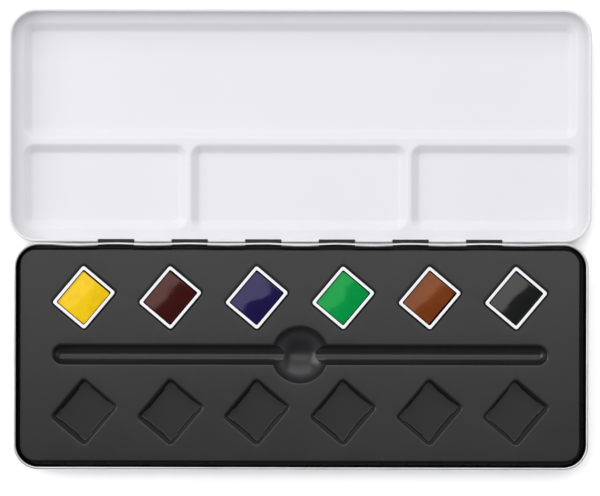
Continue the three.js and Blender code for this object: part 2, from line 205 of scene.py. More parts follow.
class Draft:
    """Points and faces of one piece, gathered patch by patch."""

    def __init__(self) -> None:
        """Starts with nothing."""
        self.points: list[Array] = []
        self.faces: list[list[int]] = []
        self.slots: list[int] = []
        self.smooth: list[bool] = []
        self.count = 0

    def add_points(self, points: Array) -> Array:
        """Adds points and numbers them.

        Args:
            points: Array whose last axis is X, Y, Z in millimetres.

        Returns:
            The numbers, in the array's shape.
        """
        flat = np.asarray(points, float).reshape(-1, 3)
        numbers = np.arange(len(flat)) + self.count
        self.count += len(flat)
        self.points.append(flat)
        return numbers.reshape(np.shape(points)[:-1])

    def add_faces(self, corners: Array, slot: int | Array = 0, smooth: bool = True) -> None:
        """Adds faces by the numbers of their points.

        Args:
            corners: Array of faces by corners.
            slot: Which finish of the piece they take, one for all or one for each.
            smooth: Whether they shade into their neighbours.
        """
        rows = np.asarray(corners).reshape(-1, np.shape(corners)[-1]).tolist()
        self.faces += rows
        self.slots += np.broadcast_to(slot, len(rows)).tolist()
        self.smooth += [smooth] * len(rows)

    def add_grid(self, numbers: Array, closed: bool = True, slot: int | Array = 0,
                 inward: bool = False, keep: Array | None = None, smooth: bool = True) -> None:
        """Adds the quads of a grid of numbered points.

        With anticlockwise columns and rising rows the quads look outwards.

        Args:
            numbers: Rows by columns of point numbers.
            closed: Whether the last column joins the first.
            slot: Which finish they take, one for all or one for each quad.
            inward: Whether they look the other way.
            keep: Which quads are there, where some are left out.
            smooth: Whether they shade into their neighbours.
        """
        after = np.roll(numbers, -1, axis=1) if closed else numbers[:, 1:]
        here = numbers if closed else numbers[:, :-1]
        quads = np.stack([here[:-1], after[:-1], after[1:], here[1:]], axis=-1)
        if inward:
            quads = quads[..., ::-1]
        present = np.ones(quads.shape[:2], bool) if keep is None else keep
        self.add_faces(quads[present], np.broadcast_to(slot, present.shape)[present], smooth)

    def add_sheet(self, outer: Array, inner: Array, keep: Array, slot: Array) -> None:
        """Adds a bent plate: its outer and inner face, and its bare cut edges.

        Args:
            outer: Rows by columns of point numbers of the outer face; the columns close.
            inner: The same for the inner face.
            keep: Which quads of the plate are there.
            slot: Finish of each quad of the outer face.
        """
        self.add_grid(outer, slot=slot, keep=keep)
        self.add_grid(inner, slot=INSIDE, keep=keep, inward=True)
        below = np.vstack([keep[:1], keep])
        above = np.vstack([keep, np.zeros_like(keep[:1])])
        tops = np.stack([outer, np.roll(outer, -1, 1), np.roll(inner, -1, 1), inner], axis=-1)
        self.add_faces(tops[below & ~above])
        self.add_faces(tops[above & ~below][:, ::-1])
        before = np.roll(keep, 1, axis=1)
        ends = np.stack([outer[:-1], outer[1:], inner[1:], inner[:-1]], axis=-1)
        self.add_faces(ends[before & ~keep][:, ::-1])
        self.add_faces(ends[keep & ~before])

    def add_level(self, rings: Sequence[Array], facing: Facing, slot: int = 0) -> None:
        """Fills a level area between an outer ring and the rings inside it.

        Args:
            rings: Numbers of the points of the outer ring, then of each hole.
            facing: Which way the area looks.
            slot: Which finish it takes.
        """
        order = np.concatenate(rings)
        starts = np.cumsum([0, *map(len, rings)])
        loops = [list(range(start, end)) for start, end in zip(starts, starts[1:])]
        flats = [Vector(place) for place in np.concatenate(self.points)[order, :2]]
        _, _, faces, sources, _, _ = delaunay_2d_cdt(flats, [], loops, HOLES_LEFT_OUT, TOUCHING)
        firsts = np.array([source[0] for source in sources])
        triangles = order[firsts[np.array(faces)]]
        self.add_faces(triangles[:, ::facing.value], slot, smooth=False)

    def build(self, name: str, finishes: Sequence[Material]) -> Piece:
        """Writes the mesh, welds its seams and gives it its finishes.

        Args:
            name: Name of the piece.
            finishes: Materials in slot order.

        Returns:
            The new object.
        """
        mesh = bpy.data.meshes.new(name)
        mesh.from_pydata((np.concatenate(self.points) * MM).tolist(), [], self.faces)
        mesh.polygons.foreach_set("material_index", self.slots)
        mesh.polygons.foreach_set("use_smooth", self.smooth)
        work = bmesh.new()
        work.from_mesh(mesh)
        bmesh.ops.remove_doubles(work, verts=work.verts, dist=WELD)
        open_edges = sum(not edge.is_manifold for edge in work.edges)
        work.to_mesh(mesh)
        work.free()
        mesh.set_sharp_from_angle(angle=SHARP_ANGLE)
        for finish in finishes:
            mesh.materials.append(finish)
        piece = bpy.data.objects.new(name, mesh)
        bpy.context.scene.collection.objects.link(piece)
        piece.modifiers.new("level_faces_stay_level", "WEIGHTED_NORMAL").keep_sharp = True
        LOG.info("%s: %d faces, %d open edges", name, len(mesh.polygons), open_edges)
        return piece


def seat(piece: Piece, body: str, slot: str, *nodes: str) -> Piece:
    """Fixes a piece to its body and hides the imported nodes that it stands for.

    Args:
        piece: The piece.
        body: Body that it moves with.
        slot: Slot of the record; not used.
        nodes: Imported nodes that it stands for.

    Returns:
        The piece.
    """
    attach(piece, body)
    if nodes:
        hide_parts(*nodes)
    return piece


class Graph:
    """Node tree of a material or the world, with short calls for its nodes."""

    def __init__(self, owner: Material | bpy.types.World) -> None:
        """Empties the owner's node tree.

        Args:
            owner: What the nodes belong to.
        """
        owner.use_nodes = True
        self.tree = owner.node_tree
        self.tree.nodes.clear()

    def node(self, kind: str, inputs: dict[Any, Any], **settings: Any) -> bpy.types.Node:
        """Adds a node.

        Args:
            kind: Type of node after ShaderNode.
            inputs: Values or sockets by input name or number.
            settings: Attributes of the node.

        Returns:
            The node.
        """
        node = self.tree.nodes.new("ShaderNode" + kind)
        for key, value in settings.items():
            setattr(node, key, value)
        for key, value in inputs.items():
            self.feed(node.inputs[key], value)
        return node

    def feed(self, socket: Socket, value: Any) -> None:
        """Links a socket into an input, or sets the input's own value.

        Args:
            socket: The input.
            value: An output socket or a plain value.
        """
        if isinstance(value, Socket):
            self.tree.links.new(value, socket)
        elif socket.type == "RGBA":
            socket.default_value = (*value, 1)
        else:
            socket.default_value = value

    def band(self, value: Socket, low: float, high: float,
             start: Any = 0.0, end: Any = 1.0) -> Socket:
        """Maps the range from low to high onto the one from start to end, clamped."""
        inputs = {"Value": value, "From Min": low, "From Max": high, "To Min": start, "To Max": end}
        return self.node("MapRange", inputs).outputs[0]

    def math(self, operation: str, first: Socket, second: Any) -> Socket:
        """Joins two values by one operation."""
        return self.node("Math", {0: first, 1: second}, operation=operation).outputs[0]

    def blend(self, share: Socket, first: Any, second: Any) -> Socket:
        """Mixes two colours.

        Args:
            share: Share of the second colour.
            first: First colour, as a socket or three values.
            second: Second colour.

        Returns:
            The mixed colour.
        """
        node = self.node("Mix", {0: share}, data_type="RGBA")
        colours = [socket for socket in node.inputs if socket.type == "RGBA"]
        self.feed(colours[0], first)
        self.feed(colours[1], second)
        return next(socket for socket in node.outputs if socket.type == "RGBA")


@dataclass(frozen=True)
class Grain:
    """A noise: its grains in a metre, in all or along each axis, finer layers and their weight."""

    scale: float | Colour
    detail: float
    rough: float = 0.5


Bumps = tuple[tuple[Grain, float], ...]


class Recipe(Graph):
    """A material with one surface shader, whose patterns read object coordinates."""

    def __init__(self, name: str) -> None:
        """Starts the material.

        Args:
            name: Name of the material.
        """
        self.material = bpy.data.materials.new(name)
        super().__init__(self.material)
        self.surface = self.node("BsdfPrincipled", {})
        self.node("OutputMaterial", {0: self.surface.outputs[0]})
        self.place = self.node("TexCoord", {}).outputs["Object"]

    def set(self, **inputs: Any) -> None:
        """Sets inputs of the surface shader, with spaces of their names as underscores."""
        for key, value in inputs.items():
            self.feed(self.surface.inputs[key.replace("_", " ")], value)

    def noise(self, grain: Grain) -> Socket:
        """Adds a noise.

        Args:
            grain: What it is like.

        Returns:
            Its value.
        """
        place, scale = self.place, grain.scale
        if isinstance(scale, tuple):
            place, scale = self.node("Mapping", {"Vector": place, "Scale": scale}).outputs[0], 1
        inputs = {"Vector": place, "Scale": scale, "Detail": grain.detail, "Roughness": grain.rough}
        return self.node("TexNoise", inputs).outputs["Fac"]

    def bump(self, layers: Bumps) -> None:
        """Raises the surface by a stack of noises.

        Args:
            layers: Each noise and how far it stands up at full value, in millimetres.
        """
        below: dict[Any, Any] = {}
        for grain, reach in layers:
            inputs = {"Height": self.noise(grain), "Distance": reach * MM, "Strength": 1.0}
            below = {"Normal": self.node("Bump", inputs | below).outputs[0]}
        self.set(**below)


@dataclass(frozen=True)
class Finish:
    """A finish: two tones mixed by a cloud, and a roughness and fine bumps that follow noises.

    A pool may add to the cloud for the tones, and a wipe may lay faint marks of a third tone
    over them. A pair named _at holds the values of a noise where its effect starts and ends.
    """

    name: str
    colour: Colour
    second: Colour
    cloud: Grain
    gloss: Pair
    bumps: Bumps
    tone_at: Pair = (0.35, 0.65)
    gloss_at: Pair = (0.3, 0.7)
    metallic: float = 0.0
    specular: float = 0.5
    sheen: Colour = (1.0, 1.0, 1.0)
    pool: Grain | None = None
    wipe: Grain | None = None
    wiped_gloss: bool = False
    mark: Colour = (0.0, 0.0, 0.0)
    mark_at: Pair = (0.0, 1.0)
    mark_share: float = 0.0

    def make(self) -> Material:
        """Builds the material.

        Returns:
            The material.
        """
        recipe = Recipe(self.name)
        cloud = rough = recipe.noise(self.cloud)
        mixed = recipe.math("ADD", cloud, recipe.noise(self.pool)) if self.pool else cloud
        tone = recipe.blend(recipe.band(mixed, *self.tone_at), self.colour, self.second)
        if self.wipe:
            wipe = recipe.noise(self.wipe)
            faint = recipe.math("MULTIPLY", recipe.band(wipe, *self.mark_at), self.mark_share)
            tone = recipe.blend(faint, tone, self.mark)
            rough = wipe if self.wiped_gloss else cloud
        recipe.set(Base_Color=tone, Roughness=recipe.band(rough, *self.gloss_at, *self.gloss),
                   Metallic=self.metallic, Specular_IOR_Level=self.specular,
                   Specular_Tint=self.sheen)
        recipe.bump(self.bumps)
        return recipe.material


@dataclass(frozen=True)
class Enamel(Finish):
    """White baked enamel: satin, with a faint orange peel and a little wiped haze."""

    name: str = "white_enamel"
    colour: Colour = (0.824, 0.806, 0.807)
    second: Colour = (0.816, 0.799, 0.800)
    cloud: Grain = Grain(22, 4)
    gloss: Pair = (0.42, 0.5)
    bumps: Bumps = ((Grain(900, 2), 0.003), (Grain(60, 2), 0.02))
    gloss_at: Pair = (0.3, 0.75)
    specular: float = 0.42
    wipe: Grain = Grain((38, 160, 90), 5, 0.65)
    wiped_gloss: bool = True
    mark: Colour = (0.804, 0.787, 0.786)
    mark_at: Pair = (0.5, 0.85)
    mark_share: float = 0.35


@dataclass(frozen=True)
class Tinplate(Finish):
    """Bright tinplate: fine drawing marks and a dull bloom in places."""

    name: str = "bright_tinplate"
    colour: Colour = (0.54, 0.54, 0.53)
    second: Colour = (0.43, 0.43, 0.42)
    cloud: Grain = Grain(70, 5, 0.6)
    gloss: Pair = (0.34, 0.50)
    bumps: Bumps = ((Grain((60, 60, 2600), 4, 0.7), 0.002), (Grain(260, 3), 0.003))
    tone_at: Pair = (0.45, 0.72)
    gloss_at: Pair = (0.35, 0.7)
    metallic: float = 1.0


@dataclass(frozen=True)
class RimHighlightTinplate(Tinplate):
    """Brighter copy of the tinplate on the outer part of the base's rim: a painted highlight where
    the rim catches the light.
    """

    name: str = "rim_tinplate_painted_highlight"
    colour: Colour = (0.82, 0.82, 0.805)
    second: Colour = (0.70, 0.70, 0.685)


@dataclass(frozen=True)
class Lacquer(Finish):
    """Black stoving lacquer on tinplate: deep and glossy, a little thin in places."""

    name: str = "black_lacquer"
    colour: Colour = (0.011, 0.0108, 0.0108)
    second: Colour = (0.024, 0.024, 0.024)
    cloud: Grain = Grain(120, 4)
    gloss: Pair = (0.22, 0.38)
    bumps: Bumps = ((Grain(1100, 2), 0.003), (Grain(90, 2), 0.02))
    tone_at: Pair = (0.4, 0.8)
    specular: float = 0.3


@dataclass(frozen=True)
class TrayPlastic(Finish):
    """Dark grey plastic: a fine moulded grain, soft clouding and a few pale scuffs."""

    name: str = "dark_tray_plastic"
    colour: Colour = (0.0172, 0.0159, 0.0160)
    second: Colour = (0.0190, 0.0177, 0.0178)
    cloud: Grain = Grain(35, 4)
    gloss: Pair = (0.23, 0.27)
    bumps: Bumps = ((Grain(2600, 2), 0.003), (Grain(140, 0), 0.003))
    specular: float = 0.58
    wipe: Grain = Grain((240, 900, 400), 5, 0.75)
    mark: Colour = (0.034, 0.034, 0.033)
    mark_at: Pair = (0.66, 0.8)
    mark_share: float = 0.5


@dataclass(frozen=True)
class PanPlastic(Finish):
    """White moulded plastic: smooth and slightly warm, with soft clouding."""

    name: str = "white_pan_plastic"
    colour: Colour = (0.95, 0.94, 0.92)
    second: Colour = (0.92, 0.91, 0.885)
    cloud: Grain = Grain(180, 4)
    gloss: Pair = (0.26, 0.38)
    bumps: Bumps = ((Grain(1500, 2), 0.004), (Grain(220, 3), 0.01))
    tone_at: Pair = (0.4, 0.75)


@dataclass(frozen=True)
class Steel(Finish):
    """Drawn steel wire: bright, with fine marks along its length."""

    name: str = "drawn_steel"
    colour: Colour = (0.60, 0.60, 0.585)
    second: Colour = (0.40, 0.39, 0.37)
    cloud: Grain = Grain((90, 4000, 4000), 4, 0.7)
    gloss: Pair = (0.25, 0.45)
    bumps: Bumps = ((Grain((90, 4000, 4000), 4, 0.7), 0.004),)
    tone_at: Pair = (0.4, 0.7)
    metallic: float = 1.0


@dataclass(frozen=True)
class DriedPaint(Finish):
    """Dried watercolour: strong pigment, mottled, with fine ripples and an uneven sheen."""

    cloud: Grain = Grain(420, 5, 0.6)
    gloss: Pair = (0.07, 0.13)
    bumps: Bumps = ((Grain(1700, 3), 0.002), (Grain(330, 2), 0.008))
    tone_at: Pair = (0.85, 1.2)
    specular: float = 0.66
    pool: Grain = Grain(110, 3)


@dataclass(frozen=True)
class RolledSection:
    """Section of a tin from its panel up the wall and round the inward rolled rim.

    The outer and the inner face have matching rows, so the plate can be cut anywhere.
    """

    height: float
    wall_stops: Sequence[float]
    sheet: float = 0.25
    bead: float = 0.6
    edge: float = 1.5
    edge_steps: int = 6
    bead_steps: int = 18

    def face(self, skin: float) -> Array:
        """Rows of one face, as inset and height.

        The edge is an arc about one centre, the wall is straight, and the bead is three
        quarters of a circle about another centre; a skin takes off both radii.

        Args:
            skin: 0 for the outer face, the sheet's thickness for the inner one.

        Returns:
            Array of rows by two.
        """
        edge, bead, axis = self.edge, self.bead, self.height - self.bead
        foot = arc((edge, edge), edge - skin, -QUARTER, -2 * QUARTER, self.edge_steps)
        stops = np.array([[skin, z] for z in self.wall_stops])
        roll = arc((bead, axis), bead - skin, 2 * QUARTER, -QUARTER, self.bead_steps)
        return np.concatenate([foot, stops, roll])

    def row_at(self, z: float) -> int:
        """Number of the row at a wall stop."""
        return self.edge_steps + 1 + self.wall_stops.index(z)

    def first_bead_row(self) -> int:
        """Number of the row where the bead starts."""
        return self.edge_steps + 1 + len(self.wall_stops)


@dataclass
class Hinge:
    """Rolled knuckles of both tins along one wire."""

    length: float = 187.2
    shift: float = -0.4
    knuckles: int = 13
    gap: float = 0.3
    bead: float = 0.6
    sheet: float = 0.25
    play: float = 0.12
    fit: float = 0.15
    wire_sides: int = 24
    roll_steps: int = 20
    chamfer: float = 0.12
    axis: Array = field(default_factory=lambda: np.array(frame["joints"][0]["pos_m"]) / MM)

    @property
    def pitch(self) -> float:
        """Distance from one knuckle to the next."""
        return self.length / self.knuckles

    def tab_centres(self) -> Array:
        """X of the middle of each knuckle that belongs to the base."""
        return (np.arange(1, self.knuckles, 2) - (self.knuckles - 1) / 2) * self.pitch + self.shift

    def spans(self, play: float) -> Array:
        """Start and end along X of each of these knuckles' places, wider by the play."""
        reach = (self.pitch + play) / 2
        return np.array([[x - reach, x + reach] for x in self.tab_centres()])

    def build_tab(self, name: str, centre: float, finish: Material) -> Piece:
        """Builds one tab: its section carried along X and closed at both ends.

        The section leaves the wall level, passes over the wire and wraps three quarters
        round it; the first and last columns are drawn in by a sixth of the sheet, for a
        broken edge.

        Args:
            name: Name of the piece.
            centre: X of its middle.
            finish: Its material.

        Returns:
            The piece.
        """
        inner, outer = self.bead - self.sheet, self.bead
        root = -(self.bead + self.fit + self.sheet / 2)
        soft = self.sheet / 6
        half = (self.pitch - self.gap) / 2
        columns = []
        for offset, shrink in ((-half, soft), (-half + soft, 0), (half - soft, 0), (half, soft)):
            under = arc((0, 0), inner + shrink, QUARTER, -2 * QUARTER, self.roll_steps)
            over = arc((0, 0), outer - shrink, -2 * QUARTER, QUARTER, self.roll_steps)
            start, end = [[root, inner + shrink]], [[root, outer - shrink]]
            section = np.concatenate([start, under, over, end]) + self.axis[1:]
            columns.append(np.roll(lifted(section, centre + offset), 1, axis=1))
        draft = Draft()
        numbers = draft.add_points(np.stack(columns))
        draft.add_grid(numbers)
        middle = numbers.shape[1] // 2
        for row, inward in ((numbers[0], True), (numbers[-1], False)):
            strip = np.stack([row[:middle], row[middle:][::-1]])
            draft.add_grid(strip, closed=False, inward=inward, smooth=False)
        return draft.build(name, [finish])

    def build_wire(self, finish: Material) -> Piece:
        """Builds the wire: a circle carried along X, with chamfered ends.

        Args:
            finish: Its material.

        Returns:
            The piece.
        """
        radius = self.bead - self.sheet - self.play
        low, high = self.shift - self.length / 2, self.shift + self.length / 2
        stops = ((low, radius - self.chamfer), (low + self.chamfer, radius),
                 (high - self.chamfer, radius), (high, radius - self.chamfer))
        angles = np.arange(self.wire_sides) / self.wire_sides * 4 * QUARTER
        circle = np.stack([np.cos(angles), np.sin(angles)], axis=1)
        rings = [np.roll(lifted(size * circle + self.axis[1:], x), 1, axis=1) for x, size in stops]
        draft = Draft()
        numbers = draft.add_points(np.stack(rings))
        draft.add_grid(numbers)
        draft.add_faces(numbers[:1, ::-1], smooth=False)
        draft.add_faces(numbers[-1:], smooth=False)
        return draft.build("hinge_wire_drawn", [finish])

    def dress(self, lacquer: Material, steel: Material) -> list[Piece]:
        """Builds the tabs and the wire and seats them.

        Args:
            lacquer: Finish of the tabs.
            steel: Finish of the wire.

        Returns:
            The pieces.
        """
        pieces = [seat(self.build_wire(steel), "base", Slot.WIRE.value, "hinge_wire")]
        for number, centre in enumerate(self.tab_centres(), 1):
            piece = self.build_tab(f"hinge_tab_{number}", centre, lacquer)
            pieces.append(seat(piece, "base", Slot.BASE.value, "base_tin"))
        return pieces


@dataclass
class BaseTin:
    """Lower tin: bright outside, black inside up to the top of its rim, slotted for the tabs."""

    hinge: Hinge
    corner: float = 10.0
    corner_steps: int = 20
    side_step: float = 5.0
    ripple: float = 0.45
    unevenness: Colour = (0.3, 0.8, 0.6)
    # Rows round the rim with the brighter tinplate, a painted highlight; fewer under the tabs,
    # which leaves painted shade there.
    bare_rows: int = 9
    bare_rows_cut: int = 6

    def __post_init__(self) -> None:
        """Takes the tin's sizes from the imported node."""
        middle, extent = box_of("base_tin")
        self.half = np.array([extent[0] / 2, extent[1] / 2 - middle[1]])
        self.height = extent[2]
        self.window_low = self.hinge.axis[2] + self.hinge.bead
        window_high = self.height - 2 * self.hinge.bead
        self.windows = self.hinge.spans(-self.hinge.gap)
        self.section = RolledSection(self.height, (self.window_low, window_high))

    def stations(self) -> Stations:
        """Places round the tin: one at each end of each slot, none a quarter step beside them.

        Returns:
            The places.
        """
        spans = 2 * (self.half - self.corner)
        along, across = (inner_shares(int(span / self.side_step) - 1) for span in spans)
        cuts = (spans[0] / 2 - self.windows.ravel()) / spans[0]
        least = self.side_step / 4 / spans[0]
        rear = np.array([share for share in along if np.abs(cuts - share).min() > least])
        rear = np.sort(np.append(rear, cuts))
        return Stations.around(self.corner_steps, [rear, across, along, across])

    def rippled(self, rings: Array) -> Array:
        """Moves the upper part of the rear wall forward between the tabs, as pressed plate does.

        The shift is a raised cosine of X from tab to tab, times one plus a sine of X of the
        given depth, pace and phase. It fades out down the wall and at the corners.

        Args:
            rings: Rows of points round the tin.

        Returns:
            The moved points.
        """
        x, y, z = np.moveaxis(rings, -1, 0)
        rise = smooth_step((z - self.window_low) / (self.height - self.window_low))
        fade = smooth_step((self.half[0] - self.corner - np.abs(x)) / self.corner) * (y > 0)
        place = (x - self.hinge.shift) / self.hinge.pitch
        depth, pace, phase = self.unevenness
        wave = (1 + np.cos(place * math.pi)) / 2 * (1 + depth * np.sin(place * pace + phase))
        return rings - np.stack([0 * x, self.ripple * wave * rise * fade, 0 * z], axis=-1)

    def build(self, *finishes: Material) -> Piece:
        """Builds the pressed tin: its section carried round a rounded rectangle.

        Args:
            finishes: Materials outside, inside, and on the outer part of the rim, which is a
                brighter copy of the outside one, a painted highlight.

        Returns:
            The piece.
        """
        section, stations, draft = self.section, self.stations(), Draft()
        faces = [stations.rings(self.half, self.corner, section.face(skin))
                 for skin in (0, section.sheet)]
        outer, inner = (draft.add_points(self.rippled(face)) for face in faces)
        x = stations.core[:, 0] * (self.half[0] - self.corner)
        cut = stations.cut(1, x, self.windows)
        keep = np.ones((outer.shape[0] - 1, outer.shape[1]), bool)
        low, high = map(section.row_at, section.wall_stops)
        keep[low:high, cut] = False
        slots = np.full(keep.shape, OUTSIDE)
        bead = section.first_bead_row()
        # The outer part of the rim takes the brighter tinplate, a painted highlight.
        slots[bead:] = BARE
        slots[bead + self.bare_rows:] = INSIDE
        # Under the tabs the lacquer starts sooner round the rim, which darkens the rim there as
        # painted shade.
        slots[bead + self.bare_rows_cut:, cut] = INSIDE
        draft.add_sheet(outer, inner, keep, slots)
        draft.add_level([outer[0]], Facing.DOWN)
        draft.add_level([inner[0]], Facing.UP, slot=INSIDE)
        return draft.build("base_tin_pressed", finishes)

    def dress(self, *finishes: Material) -> Piece:
        """Builds the tin and seats it."""
        return seat(self.build(*finishes), "base", Slot.BASE.value, "base_tin")


@dataclass(frozen=True)
class WellPlan:
    """Rectangle of one mixing well at the top of its slope, about the lid's middle."""

    low: Pair
    high: Pair

    def inward(self, flat: Array, corner: float, grow: float) -> Array:
        """Distance inside the rounded rectangle, negative outside it.

        Args:
            flat: Points of the plan.
            corner: Corner radius.
            grow: How much the outline is moved out.

        Returns:
            Array of distances.
        """
        middle = (np.array(self.low) + self.high) / 2
        half = (np.array(self.high) - self.low) / 2 + grow
        radius = corner + grow
        past = np.abs(flat - middle) - half + radius
        outside = np.hypot(*np.moveaxis(np.maximum(past, 0), -1, 0))
        return radius - outside - np.minimum(past.max(axis=-1), 0)


@dataclass
class LidTin:
    """Lid: white inside with four pressed wells, bright outside, its rim notched for the tabs."""

    hinge: Hinge
    corner: float = 10.8
    depth: float = 3.0
    margin: float = 5.3
    slope: float = 2.9
    well_corner: float = 4.3
    long_crest: float = 2.8
    short_crest: float = 1.7
    fold_share: float = 0.36
    long_crest_share: float = -0.1324
    short_crest_shares: Pair = (-0.3835, 0.375)
    grid_margin: float = 4.6
    busy: float = 5.2
    lead: float = 0.8
    fine: float = 0.32
    coarse: float = 6.0
    notch_drop: float = 0.8

    def __post_init__(self) -> None:
        """Takes the lid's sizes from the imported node."""
        middle, extent = box_of("lid_tin")
        self.shift = np.array([middle[0], middle[1], 0])
        self.half = extent[:2] / 2
        notch_low = self.hinge.axis[2] - self.notch_drop - self.depth
        self.section = RolledSection(extent[2] - self.depth, (notch_low,))

    def plans(self) -> list[WellPlan]:
        """Rectangles of the four wells: the long rear one, then three in front.

        Returns:
            The rectangles.
        """
        reach = self.half - self.margin
        ridge = self.long_crest_share * self.half[1]
        gap, short_gap = self.long_crest / 2, self.short_crest / 2
        walls = [share * self.half[0] for share in self.short_crest_shares]
        ends = [-reach[0], *(x + side * short_gap for x in walls for side in (-1, 1)), reach[0]]
        front = [WellPlan((ends[i], -reach[1]), (ends[i + 1], ridge - gap)) for i in (0, 2, 4)]
        return [WellPlan((-reach[0], ridge + gap), (reach[0], reach[1])), *front]

    def lines(self, axis: int, cuts: Iterable[float] = ()) -> Array:
        """Grid lines along one axis: close together over slopes and corners, wide elsewhere.

        Of two lines less than a quarter of the fine step apart, the second is left out.

        Args:
            axis: 0 for X, 1 for Y.
            cuts: Lines that have to be there.

        Returns:
            Sorted positions.
        """
        reach = self.half[axis] - self.grid_margin
        stops = {-reach, reach, *cuts}
        for plan in self.plans():
            for edge, way in ((plan.low[axis], 1), (plan.high[axis], -1)):
                low, high = sorted((edge - way * self.lead, edge + way * self.busy))
                low, high = max(low, -reach), min(high, reach)
                stops.update(np.linspace(low, high, math.ceil((high - low) / self.fine) + 1))
        ordered = np.array(sorted(stops))
        ordered = ordered[np.append(True, np.diff(ordered) > self.fine / 4)]
        ordered[-1] = reach
        gaps = [np.linspace(a, b, math.ceil((b - a) / self.coarse) + 1)[:-1]
                for a, b in zip(ordered[:-1], ordered[1:])]
        return np.append(np.concatenate(gaps), reach)

    def panel(self, flat: Array, skin: float) -> Array:
        """Points of one face of the pressed panel, over a grid.

        From the ledge it falls by the wells' depth times a softly folded ramp of the distance
        inside each well. The outer face lies a skin lower, with its wells a little larger.

        Args:
            flat: X and Y of the grid.
            skin: 0 for the face inside the lid, the sheet's thickness for the outer one.

        Returns:
            The grid's points.
        """
        grow = skin * math.tan(math.atan2(self.depth, self.slope) / 2)
        fall = np.zeros(flat.shape[:-1])
        for plan in self.plans():
            share = plan.inward(flat, self.well_corner, grow) / self.slope
            fall = np.maximum(fall, soft_ramp(share, self.fold_share))
        return np.dstack([flat, self.depth + self.section.sheet - skin - self.depth * fall])

    def build(self, *finishes: Material) -> Piece:
        """Builds the lid: a height grid for the panel and a section carried round its border.

        Args:
            finishes: Materials outside, and inside with the rim.

        Returns:
            The piece.
        """
        section, sheet, draft = self.section, self.section.sheet, Draft()
        notches = self.hinge.spans(self.hinge.gap) - self.shift[0]
        flat = np.stack(np.meshgrid(self.lines(0, notches.ravel()), self.lines(1)), axis=-1)
        border = np.concatenate([flat[0, :-1], flat[:-1, -1], flat[-1, :0:-1], flat[:0:-1, 0]])
        stations = Stations.facing(border, self.half - self.corner)
        faces = []
        for skin, slot in ((0, INSIDE), (sheet, OUTSIDE)):
            panel = draft.add_points(self.panel(flat, skin) + self.shift)
            draft.add_grid(panel, closed=False, inward=skin > 0, slot=slot)
            ring = lifted(border, self.depth + sheet - skin)
            rows = section.face(sheet - skin) + [0, self.depth]
            wall = stations.rings(self.half, self.corner, rows)
            faces.append(draft.add_points(np.concatenate([ring[None], wall]) + self.shift))
        inner, outer = faces
        keep = np.ones((outer.shape[0] - 1, outer.shape[1]), bool)
        cut = stations.cut(-1, border[:, 0], notches)
        keep[section.row_at(section.wall_stops[0]) + 1:, cut] = False
        slots = np.full(keep.shape, OUTSIDE)
        slots[section.first_bead_row():] = INSIDE
        draft.add_sheet(outer, inner, keep, slots)
        return draft.build("lid_tin_pressed", finishes)

    def dress(self, *finishes: Material) -> Piece:
        """Builds the lid and seats it."""
        return seat(self.build(*finishes), "lid", Slot.LID.value, "lid_tin")


